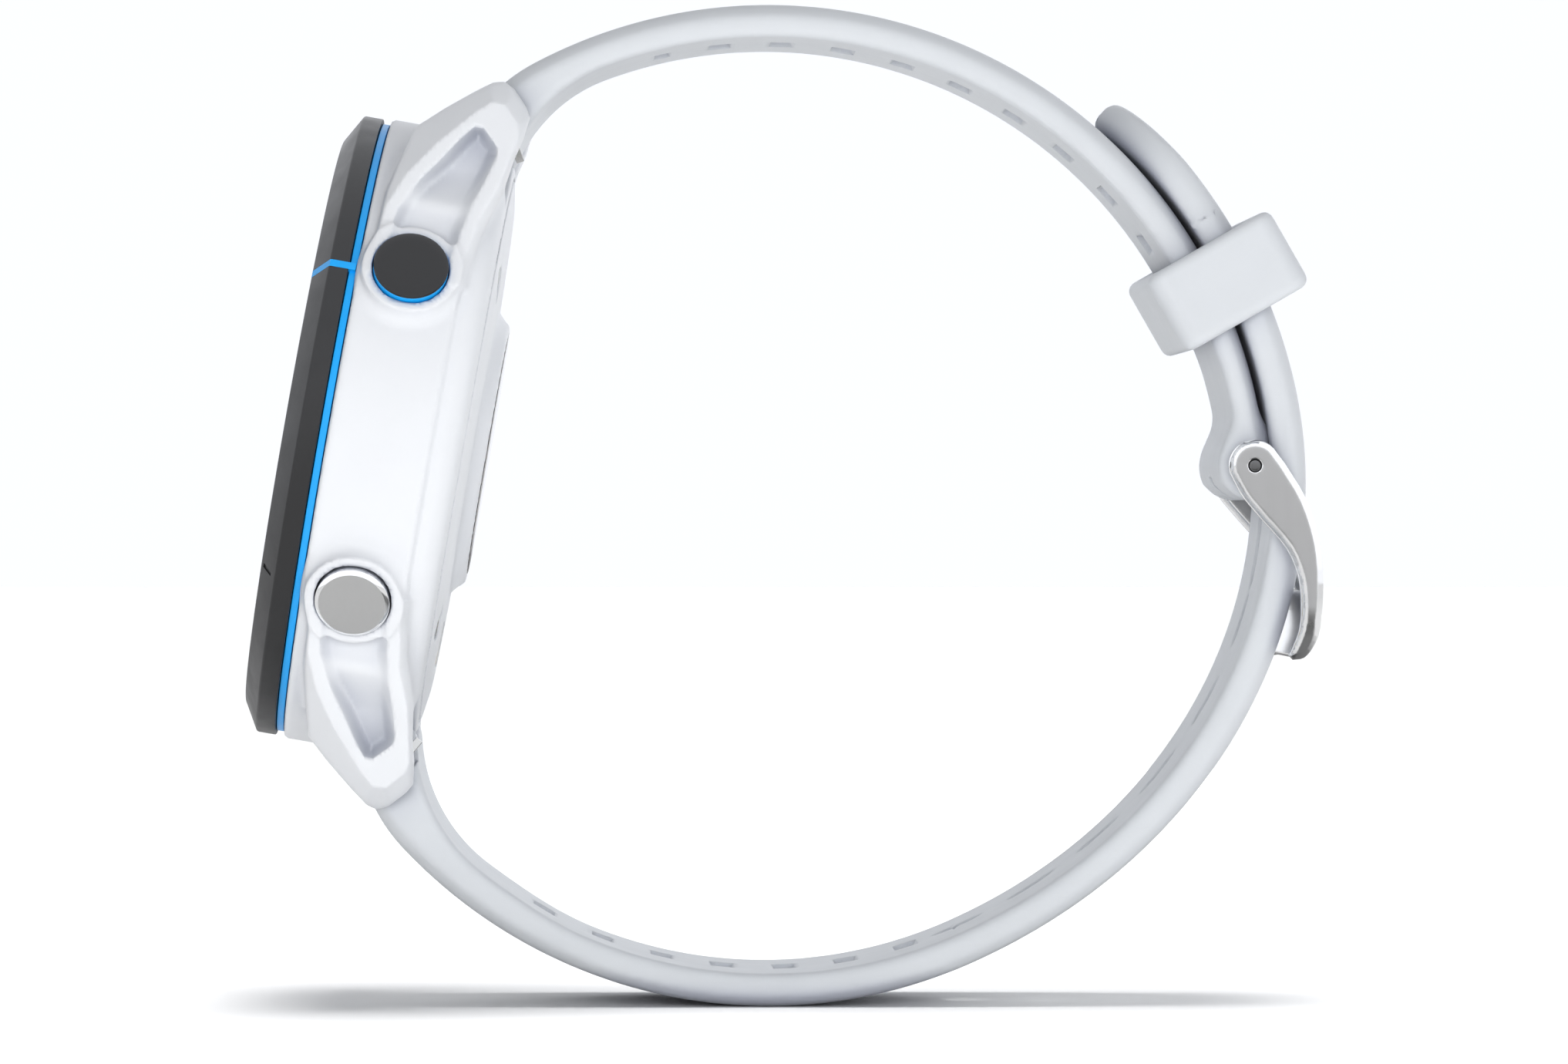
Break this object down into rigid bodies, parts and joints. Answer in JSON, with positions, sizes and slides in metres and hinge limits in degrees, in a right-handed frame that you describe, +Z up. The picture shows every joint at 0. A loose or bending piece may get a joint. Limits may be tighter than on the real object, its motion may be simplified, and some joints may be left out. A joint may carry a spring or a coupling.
{
  "type": "gps running watch",
  "caption": "Round sports watch with side buttons, buckled into a closed loop by a silicone strap with a pin buckle and a sliding keeper.",
  "frame": {"origin": "centre of the sensor window on the back of the case, on its flat rear face", "axes": "+Z up as the watch stands on its strap, -Y towards the 3 o'clock side, +X from the case towards the buckle; the case leans 9.94 degrees"},
  "size_m": [0.0795, 0.0484, 0.0738],
  "materials": {
    "white_polymer": "fine matte fibre-reinforced polymer",
    "silicone": "soft matte silicone",
    "black_polymer": "satin black polymer",
    "black_rubber": "matte rubber",
    "blue_accent": "satin blue polymer",
    "steel": "brushed faces with polished edges",
    "cover_glass": "polished, dark behind",
    "screen": "dark display",
    "circuit": "solder mask",
    "foil": "laminated foil pouch",
    "grey_polymer": "moulded",
    "gold": "gold plated contacts"
  },
  "bodies": {
    "case_and_strap": {"case_shell": "white_polymer", "back_cover": "white_polymer", "strap_upper": "silicone", "strap_lower": "silicone", "bezel": "black_polymer", "lens_gasket": "black_rubber", "back_gasket": "black_rubber", "start_button_seal": "black_rubber", "back_button_seal": "black_rubber", "light_button_seal": "black_rubber", "up_button_seal": "black_rubber", "down_button_seal": "black_rubber", "accent_ring": "blue_accent", "spring_bar_upper": "steel", "spring_bar_lower": "steel", "back_screw_1": "steel", "back_screw_2": "steel", "back_screw_3": "steel", "back_screw_4": "steel", "vibration_motor": "steel", "lens": "cover_glass", "sensor_window": "cover_glass", "display_panel": "screen", "main_board": "circuit", "sensor_board": "circuit", "battery": "foil", "chassis": "grey_polymer", "buzzer": "grey_polymer", "start_switch": "grey_polymer", "back_switch": "grey_polymer", "light_switch": "grey_polymer", "up_switch": "grey_polymer", "down_switch": "grey_polymer", "charge_connector": "gold", "antenna": "gold"},
    "start": {"start_button": "black_polymer", "start_button_collar": "blue_accent"},
    "back": {"back_button": "steel"},
    "light": {"light_button": "steel"},
    "up": {"up_button": "steel"},
    "down": {"down_button": "steel"},
    "release_upper": {"quick_release_upper": "steel"},
    "release_lower": {"quick_release_lower": "steel"},
    "keeper_loop": {"keeper": "silicone"},
    "buckle": {"buckle_frame": "steel", "buckle_pin": "steel"},
    "tongue": {"buckle_tongue": "steel"}
  },
  "joints": [
    {"name": "start_press", "type": "slide", "parent": "case_and_strap", "child": "start", "axis": [-0.0863, 0.866, -0.4925], "range_m": [0, 0.0006], "stiffness_N_per_m": 1200, "springref_m": -0.0006},
    {"name": "back_press", "type": "slide", "parent": "case_and_strap", "child": "back", "axis": [0.0863, 0.866, 0.4925], "range_m": [0, 0.0006], "stiffness_N_per_m": 1200, "springref_m": -0.0006},
    {"name": "light_press", "type": "slide", "parent": "case_and_strap", "child": "light", "axis": [-0.0863, -0.866, -0.4925], "range_m": [0, 0.0006], "stiffness_N_per_m": 1200, "springref_m": -0.0006},
    {"name": "up_press", "type": "slide", "parent": "case_and_strap", "child": "up", "axis": [0, -1, 0], "range_m": [0, 0.0006], "stiffness_N_per_m": 1200, "springref_m": -0.0006},
    {"name": "down_press", "type": "slide", "parent": "case_and_strap", "child": "down", "axis": [0.0863, -0.866, 0.4925], "range_m": [0, 0.0006], "stiffness_N_per_m": 1200, "springref_m": -0.0006},
    {"name": "release_upper_slide", "type": "slide", "parent": "case_and_strap", "child": "release_upper", "axis": [0, 1, 0], "range_m": [0, 0.0015], "stiffness_N_per_m": 400, "springref_m": -0.0015},
    {"name": "release_lower_slide", "type": "slide", "parent": "case_and_strap", "child": "release_lower", "axis": [0, 1, 0], "range_m": [0, 0.0015], "stiffness_N_per_m": 400, "springref_m": -0.0015},
    {"name": "keeper_travel", "type": "hinge", "parent": "case_and_strap", "child": "keeper_loop", "pos_m": [0.02076, 0, -0.00373], "axis": [0, -1, 0], "range_deg": [-7, 16]},
    {"name": "buckle_hinge", "type": "hinge", "parent": "case_and_strap", "child": "buckle", "pos_m": [0.05637, 0, -0.00087], "axis": [0, -1, 0], "range_deg": [0, 8]},
    {"name": "tongue_hinge", "type": "hinge", "parent": "buckle", "child": "tongue", "pos_m": [0.05637, 0, -0.00087], "axis": [0, -1, 0], "range_deg": [0, 6]}
  ]
}
